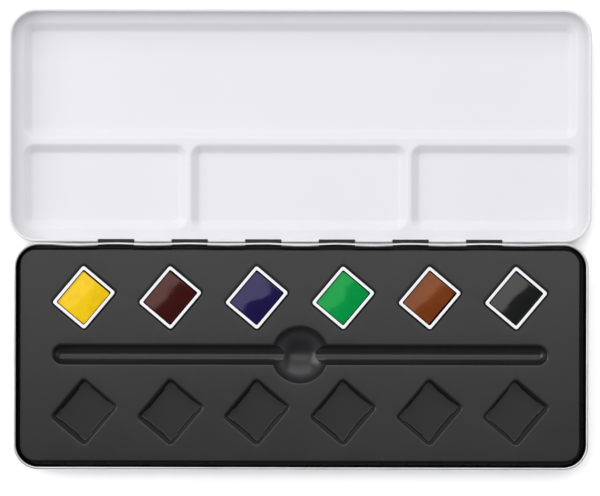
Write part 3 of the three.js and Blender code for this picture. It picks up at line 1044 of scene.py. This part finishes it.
@dataclass(frozen=True)
class TrayPocket:
    """One place for a half pan: a turned rounded rectangle with leaning walls and four pads."""

    centre: Pair
    top: float
    floor: float
    length: float = 19.7
    width: float = 17.1
    turn: float = math.radians(50)
    draft: float = 0.5
    corner: float = 1.4
    least_corner: float = 0.3
    lip: float = 0.85
    foot: float = 0.45
    pad_reach: float = 0.5
    pad_share: float = 0.52
    pad_height_share: float = 0.75
    pad_edge: float = 0.25
    corner_steps: int = 8
    pad_steps: int = 4
    lip_steps: int = 5
    wall_steps: int = 7
    foot_steps: int = 4
    corner_guard: float = 0.02

    def pad_half(self, side: float | Array) -> float | Array:
        """Half length of the pad on a side of the pocket."""
        return self.pad_share * (side - 2 * self.draft) / 2

    def stations(self) -> Stations:
        """Places round the pocket, close together at the ends of the pads.

        Returns:
            The places.
        """
        sides = []
        for side in (self.length, self.width, self.length, self.width):
            straight = side - 2 * self.corner
            ramp = self.pad_edge / straight
            pad = 0.5 + np.linspace(-1, 1, self.pad_steps + 1) * self.pad_half(side) / straight
            edges = [pad[0] - 2 * ramp, pad[0] - ramp, pad[-1] + ramp, pad[-1] + 2 * ramp]
            guards = [self.corner_guard, 1 - self.corner_guard]
            sides.append(np.sort(np.concatenate([pad, edges, guards])))
        return Stations.around(self.corner_steps, sides)

    def pads(self, stations: Stations, z: float) -> Array:
        """How far the pads stand in from the wall at a height.

        The reach falls in a straight line from the floor to the pad's top, and over the ends
        of the pad it rises as a smooth step.

        Args:
            stations: Places round the pocket.
            z: Height.

        Returns:
            Distance for each place.
        """
        tall = self.pad_height_share * (self.top - self.floor)
        reach = self.pad_reach * np.clip(1 - (z - self.floor) / tall, 0, 1)
        half = np.array([self.length, self.width]) / 2
        offset = np.abs(stations.core * (half - self.corner))
        on_side = np.abs(stations.normal) > STRAIGHT_ON
        along = np.where(on_side[:, 0], offset[:, 1], offset[:, 0])
        end = self.pad_half(np.where(on_side[:, 0], self.width, self.length))
        shape = smooth_step((end + 2 * self.pad_edge - along) / (2 * self.pad_edge))
        return reach * shape * on_side.any(axis=1)

    def rows(self, skin: float) -> Array:
        """Inset and height of each level, from the mouth to the floor.

        Args:
            skin: 0 inside the pocket, the tray's wall for the cup round it.

        Returns:
            Array of rows by two.
        """
        draft, lip, foot = self.draft, self.lip, self.foot
        if skin:
            return np.array([[-skin, self.top - skin], [draft - skin, self.floor - skin]])
        lean = draft / (self.top - self.floor)
        heights = np.linspace(self.top - lip, self.floor + foot, self.wall_steps + 1)[1:-1]
        return np.concatenate([
            arc((-lip, self.top - lip), lip, QUARTER, 0, self.lip_steps),
            np.column_stack([lean * (self.top - heights), heights]),
            arc((draft + foot, self.floor + foot), foot, 2 * QUARTER, 3 * QUARTER, self.foot_steps),
        ])

    def rings(self, stations: Stations, skin: float) -> Array:
        """Outlines of the pocket or of its cup, turned and in place.

        Args:
            stations: Places round the pocket.
            skin: 0 inside the pocket, the tray's wall for the cup.

        Returns:
            Array of levels by places by three.
        """
        half = np.array([self.length, self.width]) / 2
        levels = stations.rings(half, self.corner, self.rows(skin), self.least_corner)
        if not skin:
            for level in levels:
                level[:, :2] -= stations.normal * self.pads(stations, level[0, 2])[:, None]
        return turned(levels, self.turn, self.centre)


@dataclass(frozen=True)
class BrushGroove:
    """Rounded groove for a brush, crossed by a round finger scoop."""

    centre: Pair
    half_length: float
    top: float
    width: float = 7.3
    depth: float = 4.8
    scoop_radius: float = 11.5
    scoop_depth: float = 6.2
    lip: float = 0.9
    end_steps: int = 12
    side_steps: int = 10
    bowl_steps: int = 28
    lip_steps: int = 5
    levels: int = 14

    def outline(self, half_width: float, bowl: float, grow: float) -> Array:
        """Outline of the groove and the scoop together at one height, anticlockwise.

        A quarter of it is the round end, the straight side up to the scoop's circle and the
        circle from there to its middle; the other quarters mirror it.

        Args:
            half_width: Half width of the groove at that height.
            bowl: Radius of the scoop at that height.
            grow: How much the outline is moved out.

        Returns:
            Array of points by two.
        """
        w, r = max(half_width + grow, 0.0), bowl + grow
        angles = np.linspace(0, QUARTER, self.end_steps + 1)
        centre_x = self.half_length - self.width / 2
        end = np.column_stack([centre_x + w * np.cos(angles), w * np.sin(angles)])
        shares = inner_shares(self.side_steps)[:, None]
        meet = np.array([math.sqrt(max(r * r - w * w, 0)), w])
        start = math.asin(min(w / r, 1)) if r else 0
        circle = arc((0, 0), r, start, QUARTER, self.bowl_steps)
        quarter = np.concatenate([end, end[-1] * (1 - shares) + meet * shares, circle])
        upper = np.concatenate([quarter, quarter[-2::-1] * [-1, 1]])
        return np.concatenate([upper, upper[-2:0:-1] * [1, -1]])

    def round_places(self) -> Array:
        """Finds the places of the outline that lie on the scoop's circle.

        Returns:
            True or False for each place.
        """
        before = self.end_steps + self.side_steps
        quarter = np.arange(before + self.bowl_steps + 1) >= before
        upper = np.append(quarter, quarter[-2::-1])
        return np.append(upper, upper[-2:0:-1])

    def rings(self, skin: float) -> tuple[Array, Array]:
        """Outlines from the mouth down to the scoop's lowest point.

        The groove's half width follows a circle, and the scoop's radius a sphere, both by the
        height. Below the groove only the scoop is left.

        Args:
            skin: 0 inside, the tray's wall for the shell round them.

        Returns:
            Outlines of both together down to the groove's bottom, and of the scoop from there;
            levels by places by three.
        """
        radius = self.width / 2 + skin
        spring = self.top - self.depth + self.width / 2
        ball = (self.scoop_radius ** 2 + self.scoop_depth ** 2) / (2 * self.scoop_depth)
        ball_z = self.top - self.scoop_depth + ball
        ball += skin

        def level(half_width: float, grow: float, z: float, bowl_z: float) -> Array:
            """Outline at z, with the scoop's radius taken at its own height."""
            bowl = math.sqrt(max(ball ** 2 - (ball_z - bowl_z) ** 2, 0))
            return lifted(self.outline(half_width, bowl, grow) + self.centre, z)

        rings, start = [], self.top - skin
        if not skin:
            start = self.top - self.lip
            mouth = arc((self.lip, start), self.lip, QUARTER, 2 * QUARTER, self.lip_steps)
            rings = [level(radius, grow, z, start) for grow, z in mouth]
        for angle in np.linspace(QUARTER, 0, self.levels + 1):
            z = min(spring - radius * math.cos(angle), start)
            rings.append(level(radius * math.sin(angle), 0, z, z))
        low, floor, shared = spring - radius, ball_z - ball, len(rings)
        for share in np.linspace(0, 1, self.levels)[1:]:
            z = floor + (low - floor) * math.cos(share * QUARTER) ** 2
            rings.append(level(0, 0, z, z))
        return np.stack(rings[:shared]), np.stack(rings[shared - 1:])[:, self.round_places()]


@dataclass
class InsertTray:
    """Moulded tray: twelve turned pockets, a brush groove and a finger scoop."""

    wall: float = 0.8
    draft: float = 0.3
    corner: float = 6.0
    edge: float = 0.8
    row_middle: float = 0.3
    row_spread: float = 44.7
    row_end_margin: float = 25.2
    groove_end_margin: float = 13.1
    per_row: int = 6
    corner_steps: int = 14
    side_steps: int = 29
    edge_steps: int = 8

    def __post_init__(self) -> None:
        """Takes the tray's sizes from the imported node."""
        middle, extent = box_of("insert_tray")
        self.middle = middle[:2]
        self.half = extent[:2] / 2 - self.draft
        self.foot, self.top = middle[2] - extent[2] / 2, middle[2] + extent[2] / 2

    def pocket_centres(self) -> list[Array]:
        """Middles of the pockets, rear row first, from left to right.

        Returns:
            X and Y of each.
        """
        pitch = 2 * (self.half[0] - self.row_end_margin) / (self.per_row - 1)
        xs = (np.arange(self.per_row) - (self.per_row - 1) / 2) * pitch
        ys = self.middle[1] + self.row_middle + np.array([1, -1]) * self.row_spread / 2
        return [np.array([self.middle[0] + x, y]) for y in ys for x in xs]

    def skirt_rows(self) -> tuple[Array, Array]:
        """Inset and height of the skirt's outer and inner rows, from the foot up.

        Returns:
            Two arrays of rows by two.
        """
        foot, wall, edge, roof = self.foot, self.wall, self.edge, self.top - self.wall
        rounded = arc((edge, self.top - edge), edge, 2 * QUARTER, QUARTER, self.edge_steps)
        inner = [[wall - self.draft, foot], [wall, roof - edge], [wall + edge, roof]]
        return np.concatenate([[[-self.draft, foot]], rounded]), np.array(inner)

    def build(self, finish: Material) -> Piece:
        """Builds the tray: its skirt, its pierced top and underside, and every hollow's surface.

        Args:
            finish: Its material.

        Returns:
            The piece.
        """
        draft = Draft()
        stations = Stations.around(self.corner_steps, [inner_shares(self.side_steps)] * 4)
        outer, inner = (
            draft.add_points(stations.rings(self.half, self.corner, rows) + [*self.middle, 0])
            for rows in self.skirt_rows()
        )
        draft.add_grid(outer)
        draft.add_grid(inner, inward=True)
        draft.add_grid(np.stack([inner[0], outer[0]]), smooth=False)
        floor = self.foot + self.wall
        pockets = [TrayPocket(tuple(centre), self.top, floor) for centre in self.pocket_centres()]
        places = pockets[0].stations()
        line = (self.middle[0], self.middle[1] + self.row_middle)
        groove = BrushGroove(line, self.half[0] - self.groove_end_margin, self.top)
        for skin, rim, facing in ((0, outer[-1], Facing.UP), (self.wall, inner[-1], Facing.DOWN)):
            mouths = []
            for pocket in pockets:
                rings = draft.add_points(pocket.rings(places, skin))
                draft.add_grid(rings, inward=skin > 0)
                draft.add_level([rings[-1]], facing)
                mouths.append(rings[0])
            shared, bowl = (draft.add_points(rings) for rings in groove.rings(skin))
            draft.add_grid(shared, inward=skin > 0)
            draft.add_grid(bowl, inward=skin > 0)
            draft.add_level([rim, *mouths, shared[0]], facing)
        return draft.build("tray_moulded", [finish])

    def dress(self, finish: Material) -> Piece:
        """Builds the tray and seats it."""
        return seat(self.build(finish), "tray", Slot.TRAY.value, "insert_tray")


@dataclass(frozen=True)
class PaintColour:
    """Colour of one pan and the lie of its dried surface.

    Heights are millimetres at the pan's edge or middle: a lean across the pan, which a twist
    changes along it, a crown, and waves that roll over it. The cracks are the gaps that drying
    has left at the pan's upper end and along its lower side.
    """

    word: str
    colour: Colour
    deep: Colour
    sheen: Colour
    crown: float = 0.65
    lean: float = 0.2
    twist: float = 0.0
    wave: float = 0.010
    cracks: Pair = (0.4, 0.1)
    seed: int = 1


PAINTS = (
    PaintColour("yellow", (0.935, 0.60, 0.008), (0.86, 0.54, 0.006), (1.0, 0.9, 0.35),
                lean=0.22, cracks=(0.5, 0.1), seed=1),
    PaintColour("maroon", (0.044, 0.0035, 0.002), (0.036, 0.0030, 0.002), (1.0, 0.66, 0.60),
                lean=0.38, wave=0.004, cracks=(0.5, 0.1), seed=2),
    PaintColour("indigo", (0.0100, 0.005, 0.060), (0.008, 0.004, 0.048), (0.70, 0.66, 1.0),
                lean=0.08, twist=-0.20, wave=0.016, cracks=(0.3, 0.1), seed=3),
    PaintColour("green", (0.001, 0.305, 0.057), (0.001, 0.275, 0.049), (0.30, 1.0, 0.35),
                lean=0.26, cracks=(0.25, 0.1), seed=4),
    PaintColour("sienna", (0.195, 0.041, 0.0065), (0.160, 0.032, 0.005), (1.0, 0.66, 0.45),
                lean=0.24, twist=-0.2, cracks=(0.2, 0.5), seed=5),
    PaintColour("black", (0.007, 0.007, 0.0066), (0.006, 0.006, 0.0058), (1.0, 1.0, 0.97),
                crown=1.0, lean=0.28, wave=0.006, seed=6),
)


@dataclass
class FilledPan:
    """A half pan with its dried paint."""

    number: int
    paint: PaintColour
    length: float = 19.0
    width: float = 16.4
    height: float = 9.5
    corner: float = 1.0
    least_corner: float = 0.4
    inner_corner: float = 0.6
    draft: float = 1.3
    rim: float = 1.15
    wall: float = 0.9
    soft: float = 0.22
    drop: float = 1.3
    gap: float = 0.1
    shoulder: float = 0.15
    turn: float = math.radians(50)
    # Share of the paint's deep colour on the hollow: paint stain, darkened as painted shade in the
    # cracks.
    stain_and_shade_share: float = 0.12
    corner_steps: int = 8
    cup_steps: int = 6
    paint_steps: int = 14
    round_steps: int = 5
    rings: int = 30
    waves: int = 7
    wave_paces: Pair = (2, 7)

    def __post_init__(self) -> None:
        """Takes the pan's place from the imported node."""
        middle, extent = box_of(f"half_pan_{self.number}")
        self.centre = middle[:2]
        self.foot = middle[2] - extent[2] / 2
        self.half = np.array([self.length, self.width]) / 2

    def placed(self, points: Array) -> Array:
        """Points about the pan's middle and foot as points of the box."""
        return turned(points, self.turn, self.centre) + [0, 0, self.foot]

    def stations(self, steps: int) -> Stations:
        """Places round the pan."""
        return Stations.around(self.corner_steps, [inner_shares(steps)] * 4)

    def build_cup(self, *finishes: Material) -> Piece:
        """Builds the white cup: rounded foot, leaning wall, broad soft rim and hollow.

        Args:
            finishes: Materials of the cup, and of its hollow, which the paint has stained and which
                is darkened further as painted shade where the cracks show it.

        Returns:
            The piece.
        """
        soft, top, draft = self.soft, self.height, self.draft
        outside = np.concatenate([
            arc((draft + soft, soft), soft, -QUARTER, -2 * QUARTER, self.round_steps - 1),
            [[draft / top * (top - z), z] for z in (top / 2, top - 2 * soft)],
            arc((soft, top - soft), soft, 2 * QUARTER, QUARTER, self.round_steps),
        ])
        inside = np.concatenate([
            arc((self.rim - soft, top - soft), soft, QUARTER, 0, self.round_steps),
            [[self.rim, top - self.drop / 2], [draft + self.wall, self.wall]],
        ])
        places = self.stations(self.cup_steps)
        shrunk = self.corner - np.maximum(outside[:, 0] - draft, 0)
        corners = [*np.maximum(shrunk, self.least_corner), *[self.inner_corner] * len(inside)]
        levels = [places.ring(self.half - inset, corner, z)
                  for corner, (inset, z) in zip(corners, np.concatenate([outside, inside]))]
        cup = Draft()
        numbers = cup.add_points(self.placed(np.stack(levels)))
        cup.add_grid(numbers[:-1])
        cup.add_grid(numbers[-2:], slot=INSIDE)
        cup.add_level([numbers[0]], Facing.DOWN)
        cup.add_level([numbers[-1]], Facing.UP, slot=INSIDE)
        return cup.build(f"pan_cup_{self.number}", finishes)

    def surface(self, flat: Array) -> Array:
        """Height of the dried paint above its shoulder.

        It leans across the pan by a slope that changes along it, is crowned across as a
        parabola, and carries a few long sine waves of chosen directions.

        Args:
            flat: X and Y about the pan's middle.

        Returns:
            Array of heights.
        """
        x, y = flat[..., 0] / self.half[0], flat[..., 1] / self.half[1]
        shape = (self.paint.lean + self.paint.twist * x) * y + self.paint.crown * (1 - y * y)
        random = np.random.default_rng(self.paint.seed)
        for _ in range(self.waves):
            angle, phase = random.uniform(0, 4 * QUARTER, 2)
            pace = random.uniform(*self.wave_paces)
            roll = np.sin(pace * (x * math.cos(angle) + y * math.sin(angle)) + phase)
            shape = shape + self.paint.wave * roll
        return shape

    def build_paint(self, finish: Material) -> Piece:
        """Builds the cake: leaning sides, a soft shoulder and a crowned surface of nested rings.

        Args:
            finish: Its material.

        Returns:
            The piece.
        """
        soft, top, low = self.shoulder, self.height - self.drop, self.wall + self.gap
        lean = (self.draft + self.wall - self.rim) / (self.height - self.wall)
        insets = {z: self.rim + self.gap + lean * (self.height - z) for z in (low, top - soft, top)}
        sides = [[insets[low], low], [insets[top - soft], top - soft]]
        centre = (insets[top] + soft, top - soft)
        shoulder = arc(centre, soft, 2 * QUARTER, QUARTER, self.round_steps)[1:]
        places = self.stations(self.paint_steps)
        short = (np.array(self.paint.cracks) - self.gap) / 2
        levels = [places.ring(self.half - short - inset, self.inner_corner, z)
                  for inset, z in (*sides, *shoulder)]
        levels = [level + [-short[0], short[1], 0] for level in levels]
        shares = np.linspace(1, 0, self.rings + 1)[1:]
        cake = np.stack([*levels, *(levels[-1] * [share, share, 1] for share in shares)])
        cake[1:, :, 2] += self.surface(cake[1:])
        draft = Draft()
        numbers = draft.add_points(self.placed(cake))
        draft.add_grid(numbers)
        draft.add_level([numbers[0]], Facing.DOWN)
        return draft.build(f"paint_{self.paint.word}", [finish])

    def dress(self, plastic: Material) -> list[Piece]:
        """Builds the cup and its paint and seats both.

        Args:
            plastic: Finish of the cup.

        Returns:
            The pieces.
        """
        paint, body = self.paint, f"pan_{self.number}"
        dried = DriedPaint(f"dried_{paint.word}", paint.colour, paint.deep, sheen=paint.sheen)
        # The hollow's finish is the paint's deep colour cut to a small share: paint stain, darkened
        # as painted shade in the cracks.
        dark = tuple(self.stain_and_shade_share * part for part in paint.deep)
        stain_and_shade_paint = DriedPaint(f"{paint.word}_stain", dark, dark, sheen=paint.sheen)
        cup = self.build_cup(plastic, stain_and_shade_paint.make())
        cake = self.build_paint(dried.make())
        return [seat(cup, body, Slot.PAN.value, f"half_pan_{self.number}"),
                seat(cake, body, f"{paint.word}_paint", f"{paint.word}_paint_cake")]


@dataclass(frozen=True)
class Lamp:
    """A rectangular soft lamp that looks at the middle of the box.

    It hangs at an angle from the zenith, towards an azimuth counted from +X to +Y, and its
    sides are given as angles seen from the box: across, and along the arc from the zenith.
    """

    name: str
    zenith: float
    azimuth: float
    across: float
    along: float
    level: float
    distance: float = 1.5

    def make(self, middle: Sequence[float]) -> None:
        """Makes the lamp.

        Its power is the one that lights a matt face turned to it as brightly as surroundings
        of the same level would.

        Args:
            middle: What it looks at, in metres.
        """
        zenith, azimuth = math.radians(self.zenith), math.radians(self.azimuth)
        data = bpy.data.lights.new(self.name, "AREA")
        data.shape = "RECTANGLE"
        data.size, data.size_y = (2 * self.distance * math.tan(math.radians(angle) / 2)
                                  for angle in (self.across, self.along))
        data.energy = 4 * math.pi * self.level * self.distance ** 2
        lamp = bpy.data.objects.new(self.name, data)
        flat = math.sin(zenith)
        outward = np.array([flat * math.cos(azimuth), flat * math.sin(azimuth), math.cos(zenith)])
        lamp.location = np.array(middle) + self.distance * outward
        lamp.rotation_euler = (zenith, 0, azimuth + QUARTER)
        lamp.visible_camera = False
        bpy.context.scene.collection.objects.link(lamp)


@dataclass
class Studio:
    """Camera above the box, a white table, three broad soft lamps behind it, one to its left."""

    eye: Pair = (-0.45, 42.3)
    distance: float = 1300.0
    lens: float = 198.0
    clip: Pair = (0.01, 20)
    roll: float = math.radians(0.12)
    table: float = 3000.0
    table_colour: Colour = (0.90, 0.90, 0.90)
    seen_colour: Colour = (1.51, 1.48, 1.42)
    ambient: float = 0.54
    ambient_colour: Colour = (0.94, 0.97, 1.07)
    horizon: float = 0.62
    ceiling: float = 0.13
    ceiling_at: Pair = (0.4, 0.75)
    front: float = 0.55
    front_at: Pair = (-0.65, -0.15)
    lamps: tuple[Lamp, ...] = (
        Lamp("key", 5.5, 90, 62, 17, 0.125),
        Lamp("rear", 23, 90, 70, 18, 0.075),
        Lamp("low_rear", 49, 90, 70, 32, 0.245),
        Lamp("side", 55, 170, 30, 30, 0.21),
    )

    def make_camera(self) -> None:
        """Makes the camera, which looks straight down, and gives it to the scene."""
        data = bpy.data.cameras.new("camera")
        data.lens = self.lens
        data.clip_start, data.clip_end = self.clip
        camera = bpy.data.objects.new("camera", data)
        camera.location = (self.eye[0] * MM, self.eye[1] * MM, self.distance * MM)
        camera.rotation_euler = (0, 0, self.roll)
        bpy.context.scene.collection.objects.link(camera)
        bpy.context.scene.camera = camera

    def make_world(self) -> None:
        """Makes the surroundings: even light, with a dark ceiling and a dimmer front in mirrors."""
        world = bpy.data.worlds.new("studio")
        graph = Graph(world)
        way = graph.node("TexCoord", {}).outputs["Generated"]
        parts = graph.node("SeparateXYZ", {0: way}).outputs
        height = graph.band(parts["Z"], *self.ceiling_at, self.horizon, self.ceiling)
        front = graph.band(parts["Y"], *self.front_at, self.front)
        mirrored = graph.math("MULTIPLY", height, front)
        glossy = graph.node("LightPath", {}).outputs["Is Glossy Ray"]
        level = graph.band(glossy, 0, 1, self.ambient, mirrored)
        light = graph.node("Background", {"Color": self.ambient_colour, "Strength": level})
        graph.node("OutputWorld", {0: light.outputs[0]})
        bpy.context.scene.world = world

    def make_table(self) -> None:
        """Makes the matt white table, paler where it is seen or mirrored; it keeps its shadow."""
        draft, reach = Draft(), self.table / 2
        square = lifted(np.array([[-1, -1], [1, -1], [1, 1], [-1, 1]]) * reach, 0)
        draft.add_faces(draft.add_points(square)[None], smooth=False)
        material = bpy.data.materials.new("white_table")
        graph = Graph(material)
        path = graph.node("LightPath", {}).outputs
        seen = graph.math("MAXIMUM", path["Is Camera Ray"], path["Is Glossy Ray"])
        seen = graph.math("MAXIMUM", seen, path["Is Transmission Ray"])
        colour = graph.blend(seen, self.table_colour, self.seen_colour)
        graph.node("OutputMaterial", {0: graph.node("BsdfDiffuse", {"Color": colour}).outputs[0]})
        draft.build("table", [material])

    def make(self) -> None:
        """Sets up the camera, the surroundings, the table and the lamps."""
        bpy.context.scene.view_settings.view_transform = "Standard"
        self.make_camera()
        self.make_world()
        self.make_table()
        for lamp in self.lamps:
            lamp.make((0, self.eye[1] * MM, 0))


def main() -> None:
    """Builds the studio and every piece, and reports each piece."""
    Studio().make()
    tinplate, lacquer, enamel = Tinplate().make(), Lacquer().make(), Enamel().make()
    hinge = Hinge()
    pieces = [BaseTin(hinge).dress(tinplate, lacquer, RimHighlightTinplate().make()),
              LidTin(hinge).dress(tinplate, enamel)]
    pieces += hinge.dress(lacquer, Steel().make())
    pieces.append(InsertTray().dress(TrayPlastic().make()))
    plastic = PanPlastic().make()
    for number, paint in enumerate(PAINTS, 1):
        pieces += FilledPan(number, paint).dress(plastic)


if __name__ == "__main__":
    logging.basicConfig(level=logging.INFO, format="%(message)s")
    main()
    bpy.context.view_layer.update()
